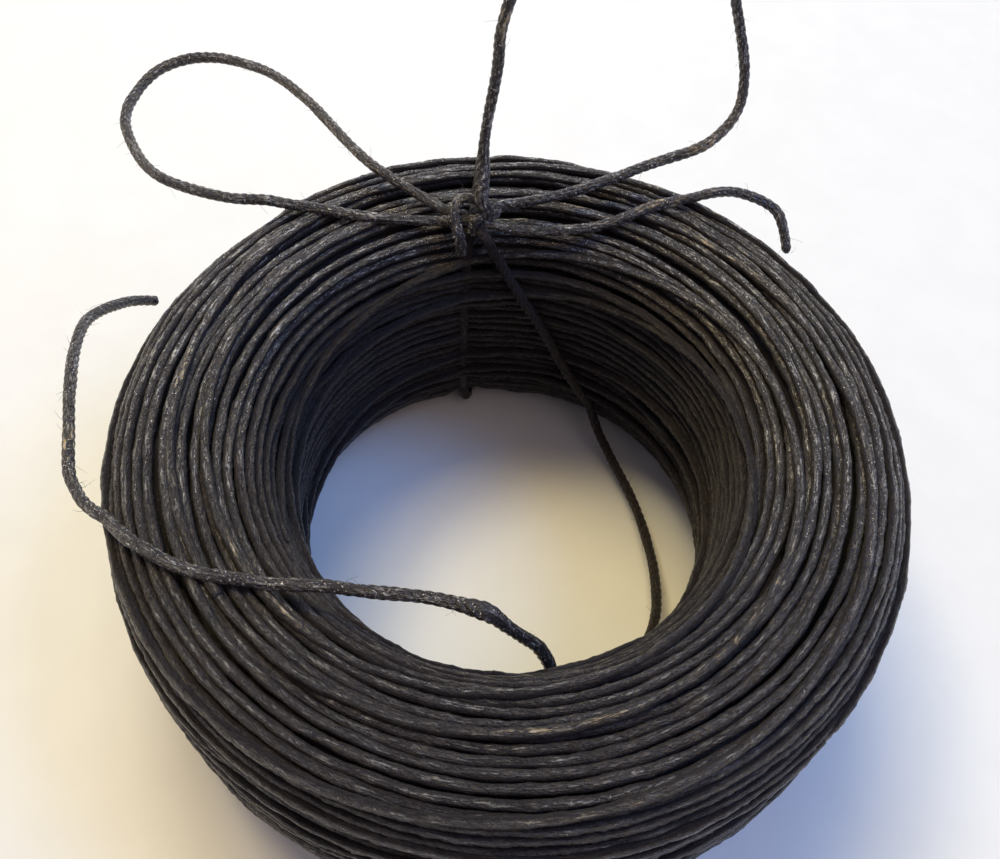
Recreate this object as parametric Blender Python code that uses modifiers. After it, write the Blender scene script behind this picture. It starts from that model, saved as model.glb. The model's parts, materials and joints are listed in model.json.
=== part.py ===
"""Coreless ring of waxed sewing cord, held by one tie cord with a bow.

The cord is wound layer on layer into a thick ring with an open bore and lies flat.
A tie cord goes once round the ring's section, bedded into the underside, and is knotted
in a bow on the top face: two loops, one short end, and one long tail that runs down the
bore, comes up over the near inner shoulder and hangs over the outer one.

Lengths are in millimetres, with heights counted from the table, and turn into metres
where a mesh or a curve is made. The origin is the ring's centre of mass, on the bore's
axis, +Z is up, and the bow is on the +Y side.
"""

import math

import bpy
from mathutils import Matrix, Vector

MM = 0.001

# Driving dimensions
OUTER_R = 31.0
BORE_R = 17.0
HEIGHT = 24.2
LAYERS = 8
CORD_D = 0.95
GAP = 0.3

# Crown of the ring's section: the higher the exponent, the squarer the shoulder
OUTER_TOP = 4.7
INNER_TOP = 2.9
UNDERSIDE = 2.6
SETTLE = 0.12

# Where a sleeve's crown is drawn, as shares of its thickness: closer near the ring's walls
MIDDLE_SHARES = (0.0, 0.5, 1.0)
BORE_SHARES = (0.0, 0.06, 0.3, 1.0)
OUTSIDE_SHARES = (0.0, 0.5, 0.85, 0.97, 1.0)

RING_STEPS = 40
RUN_STEP = 1.7
CORD_BEVEL = 2
KNOT_SEGMENTS = 16
KNOT_RINGS = 9
SHARP_ANGLE = math.radians(40)
MERGE_DISTANCE = 0.00001
CORD_R = CORD_D / 2
MID_R = (OUTER_R + BORE_R) / 2
HALF_W = (OUTER_R - BORE_R) / 2
HALF_H = (HEIGHT + SETTLE) / 2
MID_Z = HALF_H - SETTLE
REST = CORD_R + GAP
ORIGIN = Vector((0.0, 0.0, 12.4))

# The knot, and the plane in which the tie cord goes round the section
KNOT = Vector((-5.0, 19.9, 25.1))
KNOT_HALF = Vector((1.8, 1.4, 1.2))
TIE_X = -4.9
TIE_ROOT = 1.95
TIE_ROOT_DROP = 0.6
TIE_FIRST_TURN = math.radians(74)
TIE_LAST_TURN = math.radians(-214)
TIE_TURN_STEPS = 48
TIE_UNDER_Z = 0.6
NOTCH_W = CORD_D + 2 * GAP
NOTCH_TOP = TIE_UNDER_Z + REST
TANGENT_STEP = 0.01

# Where each loose run bends
LEFT_PIVOT = KNOT + Vector((-1.8, 0.0, 0.0))
UPRIGHT_PIVOT = KNOT + Vector((0.2, 0.0, 1.5))
SHORT_PIVOT = KNOT + Vector((1.8, -0.3, 0.0))
RIM_PIVOT = Vector((1.2, -16.1, 23.1))
SHOULDER_PIVOT = Vector((-28.6, -10.9, 23.4))

# Finish: the laid cord is a little greyer towards the outside
LAID_SHADE = 0.018
LAID_SHADE_STEP = 0.002
LAID_COOLNESS = 1.1
LAID_ROUGHNESS = 0.55
TIE_COLOUR = (0.03, 0.03, 0.033)
TIE_ROUGHNESS = 0.5

LEFT_LOOP = (
    (-7.3, 19.5, 25.1),
    (-13.5, 19.3, 25.2),
    (-20.9, 19.8, 25.2),
    (-27.1, 19.8, 25.2),
    (-32.9, 21.6, 25.6),
    (-36.6, 26.9, 26.2),
    (-36.3, 31.9, 26.6),
    (-34.1, 34.6, 27.0),
    (-30.5, 35.6, 27.2),
    (-25.6, 34.2, 27.3),
    (-21.3, 31.3, 27.0),
    (-17.8, 27.7, 26.6),
    (-13.7, 23.8, 26.2),
    (-7.5, 20.7, 25.4),
)

UPRIGHT_LOOP = (
    (-4.8, 20.2, 27.1),
    (-4.5, 22.2, 29.2),
    (-4.2, 23.7, 32.5),
    (-3.7, 24.8, 36.5),
    (-3.3, 25.2, 41.0),
    (-1.2, 27.3, 46.4),
    (3.6, 30.6, 49.6),
    (9.2, 33.6, 48.0),
    (13.4, 35.1, 43.0),
    (15.6, 35.2, 37.0),
    (16.9, 33.9, 33.8),
    (17.3, 31.2, 30.6),
    (15.0, 28.4, 28.5),
    (10.0, 26.5, 27.0),
    (3.2, 22.8, 26.4),
    (-2.7, 20.9, 25.8),
)

SHORT_END = (
    (-2.7, 19.3, 25.1),
    (0.5, 19.4, 24.8),
    (5.2, 20.5, 25.0),
    (10.8, 23.7, 25.1),
    (14.0, 25.2, 25.0),
    (18.0, 26.6, 24.7),
    (21.5, 26.2, 23.7),
    (22.6, 24.9, 22.9),
    (23.2, 22.8, 21.5),
)

# The long tail: down the far wall, round the bore by the floor, up the near wall,
# then out of the bore, across the top face and past the outer shoulder
TAIL_IN_BORE = (
    (-3.4, 18.1, 24.3),
    (-2.2, 17.6, 22.1),
    (-0.2, 16.6, 18.9),
    (1.8, 16.1, 15.6),
    (4.3, 15.6, 11.0),
    (7.1, 15.0, 6.2),
    (8.9, 13.4, 3.5),
    (10.7, 10.7, 2.3),
    (13.0, 6.0, 1.8),
    (14.4, 0.3, 2.0),
    (14.5, -4.8, 3.0),
    (13.3, -8.5, 4.0),
    (10.9, -11.5, 5.9),
    (8.1, -13.7, 8.6),
    (6.0, -14.75, 11.5),
    (4.5, -15.35, 14.5),
    (3.35, -15.65, 17.5),
    (2.5, -15.9, 20.1),
    (1.6, -16.1, 22.35),
)

TAIL_OVER_FACE = (
    (0.75, -16.15, 23.85),
    (-0.7, -15.95, 25.3),
    (-4.6, -15.3, 25.1),
    (-9.6, -15.2, 25.0),
    (-14.6, -15.0, 25.0),
    (-20.3, -14.9, 25.05),
    (-25.6, -13.0, 24.7),
    (-28.3, -11.2, 23.6),
)
SLUB_AT = 1
SLUB_SWELL = 1.35

TAIL_FREE_END = (
    (-29.1, -10.5, 23.3),
    (-30.8, -8.4, 22.6),
    (-31.8, -6.9, 22.6),
    (-32.7, -3.7, 23.0),
    (-34.2, 1.3, 23.0),
    (-35.4, 6.3, 21.9),
    (-35.7, 9.7, 20.2),
    (-34.9, 14.0, 17.0),
    (-33.5, 16.0, 15.0),
)


def clear_scene():
    for obj in list(bpy.data.objects):
        bpy.data.objects.remove(obj, do_unlink=True)


def make_collection(name):
    collection = bpy.data.collections.new(name)
    bpy.context.scene.collection.children.link(collection)
    return collection


def make_material(name, colour, roughness):
    material = bpy.data.materials.new(name)
    material.use_nodes = True
    shader = material.node_tree.nodes["Principled BSDF"]
    shader.inputs["Base Color"].default_value = (*colour, 1.0)
    shader.inputs["Roughness"].default_value = roughness
    shader.inputs["Metallic"].default_value = 0.0
    return material


def shade(obj, material):
    """Gives an object its own material and smooth shading with sharp corners kept."""
    obj.data.materials.append(material)
    if obj.type == "MESH":
        obj.data.shade_smooth()
        obj.data.set_sharp_from_angle(angle=SHARP_ANGLE)


def crown(across, exponent):
    """Half height of the section at a distance across it, from -1 inside to 1 outside."""
    return HALF_H * (1.0 - min(abs(across), 1.0) ** exponent) ** (1.0 / exponent)


def top_z(radius):
    across = (radius - MID_R) / HALF_W
    return MID_Z + crown(across, OUTER_TOP if across > 0 else INNER_TOP)


def bottom_z(radius):
    across = (radius - MID_R) / HALF_W
    return max(0.0, MID_Z - crown(across, UNDERSIDE))


def layer_stations(index):
    """Radii at which a sleeve's crown is drawn."""
    pitch = (OUTER_R - BORE_R + GAP) / LAYERS
    inner = BORE_R + index * pitch
    thickness = pitch - GAP
    shares = MIDDLE_SHARES
    if index == 0:
        shares = BORE_SHARES
    if index == LAYERS - 1:
        shares = OUTSIDE_SHARES
    return [inner + share * thickness for share in shares]


def turned(name, outline, collection):
    """A ring turned from a closed outline that runs down its outer side."""
    mesh = bpy.data.meshes.new(name)
    points = [(Vector((radius, 0.0, z)) - ORIGIN) * MM for radius, z in outline]
    edges = [(i, (i + 1) % len(points)) for i in range(len(points))]
    mesh.from_pydata(points, edges, [])
    obj = bpy.data.objects.new(name, mesh)
    collection.objects.link(obj)
    screw = obj.modifiers.new("turn", "SCREW")
    screw.axis = "Z"
    screw.angle = math.tau
    screw.steps = RING_STEPS
    screw.render_steps = RING_STEPS
    screw.use_merge_vertices = True
    screw.merge_threshold = MERGE_DISTANCE
    return obj


def winding_layer(index, collection):
    """A sleeve of laid cord: its two ends follow the crown of the whole ring."""
    stations = layer_stations(index)
    top = [(radius, top_z(radius)) for radius in stations]
    bottom = [(radius, bottom_z(radius)) for radius in reversed(stations)]
    if stations[-1] >= OUTER_R:
        bottom = bottom[1:]
    if stations[0] <= BORE_R:
        bottom = bottom[:-1]
    return turned(f"winding_layer_{index + 1}", top + bottom, collection)


def in_tie_plane(radius, z):
    """The point of the tie cord's plane at a radius on the ring's far side."""
    return Vector((TIE_X, math.sqrt(radius**2 - TIE_X**2), z))


def move_to(obj, collection):
    """Puts a new primitive in one collection only."""
    for owner in list(obj.users_collection):
        owner.objects.unlink(obj)
    collection.objects.link(obj)


def notch_cutter(collection):
    """The bed that the tie cord presses into the underside, as one long box."""
    height = 2 * NOTCH_TOP
    bpy.ops.mesh.primitive_cube_add(size=1.0)
    cutter = bpy.context.object
    cutter.name = "tie_bed_cutter"
    cutter.dimensions = Vector((NOTCH_W, 2 * MID_R, height)) * MM
    cutter.location = (Vector((TIE_X, MID_R, NOTCH_TOP - height / 2)) - ORIGIN) * MM
    cutter.hide_render = True
    cutter.display_type = "WIRE"
    move_to(cutter, collection)
    return cutter


def cut_tie_bed(layer, cutter):
    bed = layer.modifiers.new("tie_bed", "BOOLEAN")
    bed.operation = "DIFFERENCE"
    bed.solver = "EXACT"
    bed.object = cutter


def catmull_rom(p0, p1, p2, p3, share):
    """Point at a share of the way from p1 to p2."""
    a = 2.0 * p1
    b = p2 - p0
    c = 2.0 * p0 - 5.0 * p1 + 4.0 * p2 - p3
    d = 3.0 * (p1 - p2) + p3 - p0
    return 0.5 * (a + b * share + c * share**2 + d * share**3)


def smooth_run(corners):
    """Points along a curve through the corners, and each point's place among them."""
    knots = [Vector(corner) for corner in corners]
    padded = [2 * knots[0] - knots[1], *knots, 2 * knots[-1] - knots[-2]]
    points = []
    places = []
    for i in range(len(knots) - 1):
        steps = max(2, round((knots[i + 1] - knots[i]).length / RUN_STEP))
        for step in range(steps):
            points.append(catmull_rom(*padded[i : i + 4], step / steps))
            places.append(i + step / steps)
    points.append(knots[-1])
    places.append(len(knots) - 1)
    return points, places


def cord(name, points, swells, pivot, collection):
    """A length of cord: a curve with round section and filled ends, on its pivot."""
    curve = bpy.data.curves.new(name, "CURVE")
    curve.dimensions = "3D"
    curve.bevel_depth = CORD_R * MM
    curve.bevel_resolution = CORD_BEVEL
    curve.use_fill_caps = True
    spline = curve.splines.new("POLY")
    spline.points.add(len(points) - 1)
    for target, point, swell in zip(spline.points, points, swells):
        target.co = (*((point - pivot) * MM), 1.0)
        target.radius = swell
    obj = bpy.data.objects.new(name, curve)
    obj.location = (pivot - ORIGIN) * MM
    collection.objects.link(obj)
    return obj


def cord_run(name, corners, pivot, collection, swollen_at=None):
    points, places = smooth_run(corners)
    swells = [1.0] * len(points)
    if swollen_at is not None:
        for i, place in enumerate(places):
            near = max(0.0, 1.0 - abs(place - swollen_at))
            swells[i] += (SLUB_SWELL - 1.0) * near
    return cord(name, points, swells, pivot, collection)


def tie_band(collection):
    """The tie cord's turn round the section, from the knot and back to it.

    It keeps one clearance from the winding, except below, where it lies in its bed.
    """
    knot_r = KNOT.xy.length
    first = (knot_r + TIE_ROOT, top_z(knot_r + TIE_ROOT) + REST)
    last = (knot_r - TIE_ROOT, KNOT.z - TIE_ROOT_DROP)
    path = [first]
    for i in range(TIE_TURN_STEPS + 1):
        turn = TIE_FIRST_TURN + (TIE_LAST_TURN - TIE_FIRST_TURN) * i / TIE_TURN_STEPS
        radius, z = section_offset(turn, REST)
        if turn > 0.0 and radius < first[0] + CORD_D:
            continue
        if turn < -math.pi and z > last[1] - CORD_D:
            continue
        path.append((radius, max(z, TIE_UNDER_Z)))
    path.append(last)
    points = [in_tie_plane(radius, z) for radius, z in path]
    return cord("tie_band", points, [1.0] * len(points), ORIGIN, collection)


def section_point(turn):
    """The section's edge at a turn about its middle: 0 outside, a quarter turn on top."""
    cosine = math.cos(turn)
    sine = math.sin(turn)
    exponent = UNDERSIDE
    if sine > 0.0:
        exponent = OUTER_TOP if cosine > 0.0 else INNER_TOP
    across = math.copysign(abs(cosine) ** (2.0 / exponent), cosine)
    along = math.copysign(abs(sine) ** (2.0 / exponent), sine)
    return Vector((MID_R + HALF_W * across, MID_Z + HALF_H * along))


def section_offset(turn, distance):
    """The point at a distance outside the section's edge."""
    ahead = section_point(turn + TANGENT_STEP) - section_point(turn - TANGENT_STEP)
    outward = Vector((ahead.y, -ahead.x)).normalized()
    return section_point(turn) + outward * distance


def bow_knot(collection):
    bpy.ops.mesh.primitive_uv_sphere_add(segments=KNOT_SEGMENTS, ring_count=KNOT_RINGS, radius=1.0)
    knot = bpy.context.object
    knot.name = "bow_knot"
    knot.data.transform(Matrix.Diagonal((*(KNOT_HALF * MM), 1.0)))
    knot.location = (KNOT - ORIGIN) * MM
    move_to(knot, collection)
    return knot


def main():
    clear_scene()
    parts = make_collection("waxed_cord_ring")
    cutters = make_collection("cutters")
    cutter = notch_cutter(cutters)

    for index in range(LAYERS):
        layer = winding_layer(index, parts)
        grey = LAID_SHADE + LAID_SHADE_STEP * index
        colour = (grey, grey, grey * LAID_COOLNESS)
        shade(layer, make_material(f"laid_cord_{index + 1}", colour, LAID_ROUGHNESS))
        if min(bottom_z(radius) for radius in layer_stations(index)) < NOTCH_TOP:
            cut_tie_bed(layer, cutter)

    tie_parts = (
        tie_band(parts),
        bow_knot(parts),
        cord_run("tail_in_bore", TAIL_IN_BORE, ORIGIN, parts),
        cord_run("left_bow_loop", LEFT_LOOP, LEFT_PIVOT, parts),
        cord_run("upright_bow_loop", UPRIGHT_LOOP, UPRIGHT_PIVOT, parts),
        cord_run("short_bow_end", SHORT_END, SHORT_PIVOT, parts),
        cord_run("tail_over_face", TAIL_OVER_FACE, RIM_PIVOT, parts, SLUB_AT),
        cord_run("tail_free_end", TAIL_FREE_END, SHOULDER_PIVOT, parts),
    )
    for part in tie_parts:
        shade(part, make_material(f"tie_cord_{part.name}", TIE_COLOUR, TIE_ROUGHNESS))


main()
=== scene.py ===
"""Looks of a coreless ring of waxed cord tied with a bow, made round its CAD frame.

Lengths are in millimetres in the frame's own axes and turn into metres where a mesh is
made. The ring's cord is laid turn by turn by a small winding simulation, so its strands
lie on one another and cross as they do on the real thing. The loose runs follow the
centre lines of their CAD cords, with four twisted plies modelled on the surface.
"""

import json
import math

import bpy
import numpy as np
from mathutils import Matrix, Vector


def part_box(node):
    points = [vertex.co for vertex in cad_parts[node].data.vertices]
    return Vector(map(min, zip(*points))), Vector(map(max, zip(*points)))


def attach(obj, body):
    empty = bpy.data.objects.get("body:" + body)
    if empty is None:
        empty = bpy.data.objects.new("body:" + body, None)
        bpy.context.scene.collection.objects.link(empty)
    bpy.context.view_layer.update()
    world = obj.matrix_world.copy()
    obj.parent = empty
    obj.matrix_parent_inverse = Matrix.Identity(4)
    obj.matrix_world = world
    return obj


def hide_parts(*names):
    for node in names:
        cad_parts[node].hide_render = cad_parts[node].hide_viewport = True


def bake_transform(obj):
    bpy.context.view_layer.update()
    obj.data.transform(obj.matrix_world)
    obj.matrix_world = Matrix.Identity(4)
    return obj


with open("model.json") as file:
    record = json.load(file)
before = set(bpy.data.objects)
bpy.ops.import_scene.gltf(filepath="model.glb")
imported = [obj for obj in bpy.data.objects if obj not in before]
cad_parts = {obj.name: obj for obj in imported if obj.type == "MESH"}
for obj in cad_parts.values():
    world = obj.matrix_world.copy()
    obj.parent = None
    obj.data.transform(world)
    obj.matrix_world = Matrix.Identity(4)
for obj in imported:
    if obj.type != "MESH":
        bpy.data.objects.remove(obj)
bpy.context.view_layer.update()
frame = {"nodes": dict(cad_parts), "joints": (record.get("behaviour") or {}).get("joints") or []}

MM = 0.001
SEED = 41

# The cord: its thickness, and the length in which its four plies turn once
CORD_D = 0.95
CORD_R = CORD_D / 2
PLIES = 4
LAY = 3.0

# The ring's section is a superellipse in three parts: the higher an exponent, the squarer
# that shoulder. Its outline is cut by the table, and the turns may stand a little proud.
LAYER_NODES = [f"winding_layer_{i}" for i in range(1, 9)]
OUTER_TOP = 4.7
INNER_TOP = 2.9
UNDERSIDE = 2.6
SETTLE = 0.12
PROUD = 0.12
TABLE_GAP = 0.005


def node_points(name):
    """A CAD node's distinct corners, in millimetres."""
    mesh = frame["nodes"][name].data
    points = np.empty(len(mesh.vertices) * 3, np.float32)
    mesh.vertices.foreach_get("co", points)
    return points.reshape(-1, 3).astype(float) / MM


def ring_span():
    """Bore and outside radius, and lowest and highest level, of the wound ring."""
    points = np.concatenate([node_points(name) for name in LAYER_NODES])
    radii = np.hypot(points[:, 0], points[:, 1])
    return radii.min(), radii.max(), points[:, 2].min(), points[:, 2].max()


BORE_R, OUTER_R, TABLE_Z, TOP_Z = ring_span()
MID_R = (OUTER_R + BORE_R) / 2
HALF_W = (OUTER_R - BORE_R) / 2
HALF_H = (TOP_Z - TABLE_Z + SETTLE) / 2
MID_Z = TOP_Z - HALF_H
KNOT = np.mean([np.array(corner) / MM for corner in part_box("bow_knot")], axis=0)
TIE_X = np.mean([corner[0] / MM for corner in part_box("tie_band")])


# ---------------------------------------------------------------- helpers


def unit(vectors):
    return vectors / np.maximum(np.linalg.norm(vectors, axis=-1, keepdims=True), 1e-9)


def eased(share):
    return share * share * (3.0 - 2.0 * share)


def radius_of(path):
    return np.hypot(path[:, 0], path[:, 1])


def smooth_noise(rng, places, spacing):
    """Noise from -1 to 1 with soft turns, one knot in each spacing."""
    count = int(np.max(places) / spacing) + 3
    knots = rng.uniform(-1.0, 1.0, count)
    cell = np.floor(places / spacing).astype(int)
    share = eased(places / spacing - cell)
    return knots[cell] * (1.0 - share) + knots[cell + 1] * share


def straying(rng, places, strays):
    """Noise of several sizes added up, from (reach, spacing) of each."""
    return sum(reach * smooth_noise(rng, places, spacing) for reach, spacing in strays)


def gaussian(reach, sigma):
    kernel = np.exp(-0.5 * (np.arange(-reach, reach + 1) / sigma) ** 2)
    return kernel / kernel.sum()


def smoothed(values, kernel):
    return np.convolve(np.pad(values, len(kernel) // 2, mode="edge"), kernel, mode="valid")


def distance_along(path):
    steps = np.linalg.norm(np.diff(path, axis=0), axis=1)
    return np.concatenate([[0.0], np.cumsum(steps)])


def interpolated(places, known, rows):
    """Rows at new places, each column on its own."""
    return np.stack([np.interp(places, known, column) for column in rows.T], axis=1)


def resampled(path, step):
    """The same path with evenly spaced stations, and their places along it."""
    length = distance_along(path)
    places = np.linspace(0.0, length[-1], max(3, round(length[-1] / step) + 1))
    return interpolated(places, length, path), places


def new_object(name, data):
    obj = bpy.data.objects.new(name, data)
    bpy.context.scene.collection.objects.link(obj)
    return obj


# ---------------------------------------------------------------- the ring's section

LAID_D = 0.79
LAID_R = LAID_D / 2
UNDER_SKIN = 0.66

# Half sizes and lowest level of the outline that the outermost turns' centres follow
SKIN_W = HALF_W - LAID_R + PROUD
SKIN_H = HALF_H - LAID_R + PROUD
SKIN_FLOOR = TABLE_Z + LAID_R

# The same for the turns under them
LAID_W = SKIN_W - UNDER_SKIN
LAID_H = SKIN_H - UNDER_SKIN
LAID_FLOOR = SKIN_FLOOR + UNDER_SKIN


def superellipse(share, exponent):
    """Height of a superellipse of unit radii, at a share of its half width."""
    return (1.0 - np.abs(share) ** exponent) ** (1.0 / exponent)


def section_exponent(across, along):
    """The exponent of the part of the section that a direction from its middle meets."""
    return np.where(along < 0, UNDERSIDE, np.where(across > 0, OUTER_TOP, INNER_TOP))


def section_points(turn, half_width, half_height):
    """Radius and level of points of a section outline, at angles round it."""
    cosine = np.cos(turn)
    sine = np.sin(turn)
    exponent = section_exponent(cosine, sine)
    across = np.sign(cosine) * np.abs(cosine) ** (2 / exponent) * half_width
    along = np.sign(sine) * np.abs(sine) ** (2 / exponent) * half_height
    return MID_R + across, MID_Z + along


def depth_in_section(radii, levels):
    """How far a centre lies inside the outline that the outermost turns follow."""
    across = (radii - MID_R) / SKIN_W
    along = (levels - MID_Z) / SKIN_H
    exponent = section_exponent(across, along)
    share = (np.abs(across) ** exponent + np.abs(along) ** exponent) ** (1.0 / exponent)
    reach = np.hypot(radii - MID_R, levels - MID_Z)
    return reach * (1.0 / np.maximum(share, 0.01) - 1.0)


def section_outward(path):
    """Unit directions out of the ring's section at points of it."""
    radius = radius_of(path)
    across = (radius - MID_R) / SKIN_W
    along = (path[:, 2] - MID_Z) / SKIN_H
    exponent = section_exponent(across, along) - 1.0
    level = np.sign(across) * np.abs(across) ** exponent / SKIN_W
    rise = np.sign(along) * np.abs(along) ** exponent / SKIN_H
    return unit(np.stack([level * path[:, 0] / radius, level * path[:, 1] / radius, rise], axis=1))


# ---------------------------------------------------------------- winding simulation

TURN_STEPS = 480
CHUNK = TURN_STEPS // 4
CELL = 0.1
MOST_TURNS = 500

# Turns' spacing along a layer, turns spent at each end of it, and how far the ends scatter
PITCHES = (0.82, 0.94)
DWELLS = (0.5, 1.0)
END_SCATTER = (-0.12, 0.05)
STRAYS = ((0.1, 0.31), (0.06, 0.085))

# Distance between touching centres, how far ahead a layer's ends are read, and the room
# left for the last layer
PRESSED_D = 0.77
LAYER_REACH = 0.6
FILL_SHORT = 0.5

# How the full winding is drawn to the outline
OUTLINE_KERNEL = gaussian(40, 14.0)
STRETCHES = (0.85, 1.12)
DRAWN_BACK = 0.7

# How stiffly a taut cord spans dips, and how it settles at the end
BRIDGE = gaussian(12, 4.0)
SETTLING = gaussian(8, 2.0)


def laid_limits(radius):
    """Lowest and highest level at which a turn's centre may lie, at a radius."""
    across = np.clip((radius - MID_R) / LAID_W, -1.0, 1.0)
    top = OUTER_TOP if across > 0 else INNER_TOP
    lowest = MID_Z - LAID_H * superellipse(across, UNDERSIDE)
    return max(LAID_FLOOR, lowest), MID_Z + LAID_H * superellipse(across, top)


def wall_reach(levels, top):
    """How far a wall of the ring stands from the section's middle at each level."""
    along = np.clip((levels - MID_Z) / LAID_H, -1.0, 1.0)
    return LAID_W * superellipse(along, np.where(along > 0, top, UNDERSIDE))


def bore_radius(levels):
    """Radius of the innermost turns' centres at each level."""
    return MID_R - wall_reach(levels, INNER_TOP)


def outer_radius(levels):
    """Radius of the outermost turns' centres at each level."""
    return MID_R + wall_reach(levels, OUTER_TOP)


def bridged(radii, behind):
    """A taut cord's radii: it spans the short dips and rides over the bumps."""
    padded = np.concatenate([behind, radii, np.full(len(behind), radii[-1])])
    return np.maximum(radii, np.convolve(padded, BRIDGE, mode="valid"))


def heap_up(surface, rows, near, away, heights, spacing):
    """Raises a surface to where the next cord's centre would rest on a cord laid there."""
    rise = np.sqrt(np.maximum(spacing**2 - away**2, 0.0))
    touched = np.where(np.abs(away) < spacing, heights[:, None] + rise, 0.0)
    surface[rows[:, None], near] = np.maximum(surface[rows[:, None], near], touched)


def traverse_levels(rng, level, target):
    """Levels of the cord from one end of the ring to the other, and round its stay there."""
    pitch = rng.uniform(*PITCHES)
    moving = max(1, round(abs(target - level) / pitch * TURN_STEPS))
    staying = round(rng.uniform(*DWELLS) * TURN_STEPS)
    return np.concatenate([np.linspace(level, target, moving), np.full(staying, target)])


def drawn_to_outline(radii, levels, cells, envelope):
    """Stretches the winding radially, level by level, until its outside is the outline."""
    inner = bore_radius(cells)
    wanted = outer_radius(cells) - inner
    reached = smoothed(envelope.mean(axis=0) - PRESSED_D - inner, OUTLINE_KERNEL)
    stretch = np.clip(wanted / np.maximum(reached, 1.0), *STRETCHES)
    inner_here = bore_radius(levels)
    radii = inner_here + (radii - inner_here) * np.interp(levels, cells, stretch)
    excess = np.maximum(radii - outer_radius(levels) - PROUD, 0.0)
    return radii - DRAWN_BACK * excess


def lay_cord():
    """Winds the cord until the ring is full: place in turns, radius, level, traverse."""
    rng = np.random.default_rng(SEED)
    cells = np.arange(TABLE_Z, TOP_Z + 1.0, CELL)
    envelope = np.tile(bore_radius(cells), (TURN_STEPS, 1))
    stray = straying(rng, np.arange(MOST_TURNS * TURN_STEPS) / TURN_STEPS, STRAYS)
    reach = int(PRESSED_D / CELL)
    offsets = np.arange(-reach, reach + 1)
    behind = np.full(len(BRIDGE) // 2, BORE_R + CORD_R)
    radii = []
    levels = []
    traverses = []
    placed = 0
    level = laid_limits(BORE_R + CORD_D)[0]
    upward = True
    traverse = 0
    middle = int((MID_Z - TABLE_Z) / CELL)
    full = MID_R + LAID_W - FILL_SHORT
    while envelope[:, middle].mean() < full:
        at = envelope[:, middle].mean()
        low, high = laid_limits(min(at + LAYER_REACH, full))
        scatter = rng.uniform(*END_SCATTER)
        target = high + scatter if upward else low - scatter
        path = traverse_levels(rng, level, target)
        level = path[-1]
        path = np.clip(path + stray[placed : placed + len(path)], LAID_FLOOR, MID_Z + LAID_H)
        for start in range(0, len(path), CHUNK):
            part = path[start : start + CHUNK]
            rows = (placed + np.arange(len(part))) % TURN_STEPS
            cell = np.clip(np.round((part - TABLE_Z) / CELL).astype(int), 0, len(cells) - 1)
            part_radii = bridged(envelope[rows, cell], behind)
            behind = np.concatenate([behind, part_radii])[-len(behind) :]
            near = np.clip(cell[:, None] + offsets, 0, len(cells) - 1)
            away = cells[near] - part[:, None]
            heap_up(envelope, rows, near, away, part_radii, PRESSED_D)
            radii.append(part_radii)
            placed += len(part)
        levels.append(path)
        traverses.append(np.full(len(path), traverse))
        upward = not upward
        traverse += 1
    levels = np.concatenate(levels)
    radii = smoothed(np.concatenate(radii), SETTLING)
    radii = drawn_to_outline(radii, levels, cells, envelope)
    return np.arange(placed) / TURN_STEPS, radii, levels, np.concatenate(traverses)


# ---------------------------------------------------------------- outermost turns

# Turns' spacing round the section, distance between touching centres, how deep they all
# sink in, and the most that one turn may be lifted by those under it
SKIN_PITCHES = (0.80, 0.88)
PITCH_DRIFT = 5.0
SKIN_PRESSED = 0.71
SKIN_SINK = 0.17
MOST_LIFT = 0.5

# The last turns cross back over the others in long slants
OVER_TURNS = 14
OVER_PITCH = 10.3
OVER_STRAYS = ((2.1, 0.7),)

# Small strays of every turn, and a wider one where a turn lies loose
CLOSE_STRAYS = ((0.10, 0.21), (0.06, 0.06))
LOOSE_STRAY = 0.75
OUTLINE_STEPS = 6001


def skin_outline():
    """The closed section outline, in even steps from the middle of the underside."""
    turn = np.linspace(-math.pi / 2, -math.pi / 2 - math.tau, OUTLINE_STEPS)
    radius, level = section_points(turn, SKIN_W, SKIN_H)
    outline = np.stack([radius, np.maximum(level, SKIN_FLOOR)], axis=1)
    length = distance_along(outline)
    outline = interpolated(np.arange(0.0, length[-1], CELL), length, outline)
    ahead = np.roll(outline, -3, 0) - np.roll(outline, 3, 0)
    outward = unit(np.stack([-ahead[:, 1], ahead[:, 0]], axis=1))
    return outline, outward


def skin_places(rng, length):
    """Places round the section of the outermost turns, then of the few laid over them."""
    turns = np.arange(int((length / min(SKIN_PITCHES) + 2) * TURN_STEPS)) / TURN_STEPS
    pitch = np.interp(smooth_noise(rng, turns, PITCH_DRIFT), (-1.0, 1.0), SKIN_PITCHES)
    even = np.cumsum(pitch) / TURN_STEPS
    even = even[even < length]
    turns = np.arange(OVER_TURNS * TURN_STEPS) / TURN_STEPS
    over = length - turns * OVER_PITCH + straying(rng, turns, OVER_STRAYS)
    places = np.concatenate([even, over])
    turns = np.arange(len(places)) / TURN_STEPS
    close = straying(rng, turns, CLOSE_STRAYS)
    loose = np.clip((smooth_noise(rng, turns, 0.8) - 0.25) / 0.5, 0.0, 1.0)
    return places + close + LOOSE_STRAY * loose * smooth_noise(rng, turns, 0.33)


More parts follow.
